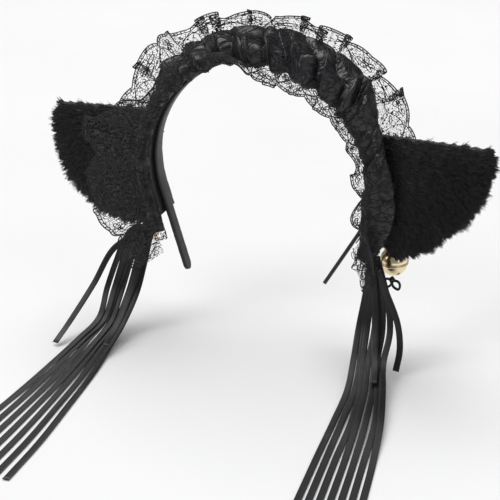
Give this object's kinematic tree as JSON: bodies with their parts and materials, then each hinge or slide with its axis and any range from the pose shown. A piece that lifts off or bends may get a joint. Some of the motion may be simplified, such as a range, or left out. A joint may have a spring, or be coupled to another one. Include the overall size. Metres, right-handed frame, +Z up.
{
  "type": "animal ears headband",
  "caption": "C-shaped hair band with plush sideways ears, a gathered satin and lace trim, round jingle bells, bows and long ribbon streamers.",
  "frame": {"origin": "middle of the short flat inside the crown of the band, where it rests on the head", "axes": "+X to the right seen from the front, from ear tip to ear tip; -Y to the front; +Z up out of the crown"},
  "size_m": [0.2864, 0.2321, 0.2081],
  "materials": {
    "band_plastic": "moulded strip",
    "band_satin": "black satin wrapped flat",
    "ruffle_satin": "black gathered satin with soft sheen",
    "lace": "black net lace with a corded scalloped edge",
    "plush": "black short fur",
    "filling": "white wadding",
    "ribbon": "narrow black satin ribbon",
    "bell_gold": "polished pale gold plate",
    "pellet_steel": "plain steel ball"
  },
  "bodies": {
    "crown": {"band_core_crown": "band_plastic", "band_sleeve_crown": "band_satin", "base_strip_crown": "band_satin", "satin_ruffle_crown": "ruffle_satin", "lace_rear_crown": "lace", "lace_front_crown": "lace"},
    "arm_left": {"band_core_left": "band_plastic", "band_sleeve_left": "band_satin", "band_tip_left": "band_satin", "base_strip_left": "band_satin", "satin_ruffle_left": "ruffle_satin", "lace_rear_left": "lace", "lace_front_left": "lace", "bow_loops_left": "ribbon", "bow_knot_left": "ribbon", "streamer_1_left": "ribbon", "streamer_2_left": "ribbon", "streamer_3_left": "ribbon", "streamer_4_left": "ribbon", "streamer_5_left": "ribbon", "streamer_6_left": "ribbon", "streamer_7_left": "ribbon", "tail_1_left": "ribbon", "tail_2_left": "ribbon"},
    "ear_left": {"ear_front_panel_left": "plush", "ear_back_panel_left": "plush", "ear_filling_left": "filling", "hanger_loop_left": "ribbon"},
    "bell_left": {"bell_upper_shell_left": "bell_gold", "bell_lower_shell_left": "bell_gold", "bell_eyelet_left": "bell_gold"},
    "pellet_left": {"bell_pellet_left": "pellet_steel"},
    "arm_right": {"band_core_right": "band_plastic", "band_sleeve_right": "band_satin", "band_tip_right": "band_satin", "base_strip_right": "band_satin", "satin_ruffle_right": "ruffle_satin", "lace_rear_right": "lace", "lace_front_right": "lace", "bow_loops_right": "ribbon", "bow_knot_right": "ribbon", "streamer_1_right": "ribbon", "streamer_2_right": "ribbon", "streamer_3_right": "ribbon", "streamer_4_right": "ribbon", "streamer_5_right": "ribbon", "streamer_6_right": "ribbon", "streamer_7_right": "ribbon", "tail_1_right": "ribbon", "tail_2_right": "ribbon"},
    "ear_right": {"ear_front_panel_right": "plush", "ear_back_panel_right": "plush", "ear_filling_right": "filling", "hanger_loop_right": "ribbon"},
    "bell_right": {"bell_upper_shell_right": "bell_gold", "bell_lower_shell_right": "bell_gold", "bell_eyelet_right": "bell_gold"},
    "pellet_right": {"bell_pellet_right": "pellet_steel"}
  },
  "joints": [
    {"name": "arm_spread_left", "type": "hinge", "parent": "crown", "child": "arm_left", "pos_m": [-0.055, 0, -0.0219], "axis": [0, 1, 0], "range_deg": [0, 10], "stiffness_Nm_per_rad": 1},
    {"name": "ear_flex_left", "type": "hinge", "parent": "arm_left", "child": "ear_left", "pos_m": [-0.074, 0, -0.075], "axis": [0, 0, 1], "range_deg": [-10, 10], "stiffness_Nm_per_rad": 0.05},
    {"name": "bell_swing_left", "type": "hinge", "parent": "ear_left", "child": "bell_left", "pos_m": [-0.083, 0.0073, -0.1098], "axis": [1, 0, 0], "range_deg": [-15, 30]},
    {"name": "pellet_rattle_left", "type": "slide", "parent": "bell_left", "child": "pellet_left", "axis": [0, 0, 1], "range_m": [0, 0.009]},
    {"name": "arm_spread_right", "type": "hinge", "parent": "crown", "child": "arm_right", "pos_m": [0.055, 0, -0.0219], "axis": [0, -1, 0], "range_deg": [0, 10], "stiffness_Nm_per_rad": 1},
    {"name": "ear_flex_right", "type": "hinge", "parent": "arm_right", "child": "ear_right", "pos_m": [0.074, 0, -0.075], "axis": [0, 0, 1], "range_deg": [-10, 10], "stiffness_Nm_per_rad": 0.05},
    {"name": "bell_swing_right", "type": "hinge", "parent": "ear_right", "child": "bell_right", "pos_m": [0.083, 0.0073, -0.1098], "axis": [1, 0, 0], "range_deg": [-15, 30]},
    {"name": "pellet_rattle_right", "type": "slide", "parent": "bell_right", "child": "pellet_right", "axis": [0, 0, 1], "range_m": [0, 0.009]}
  ]
}
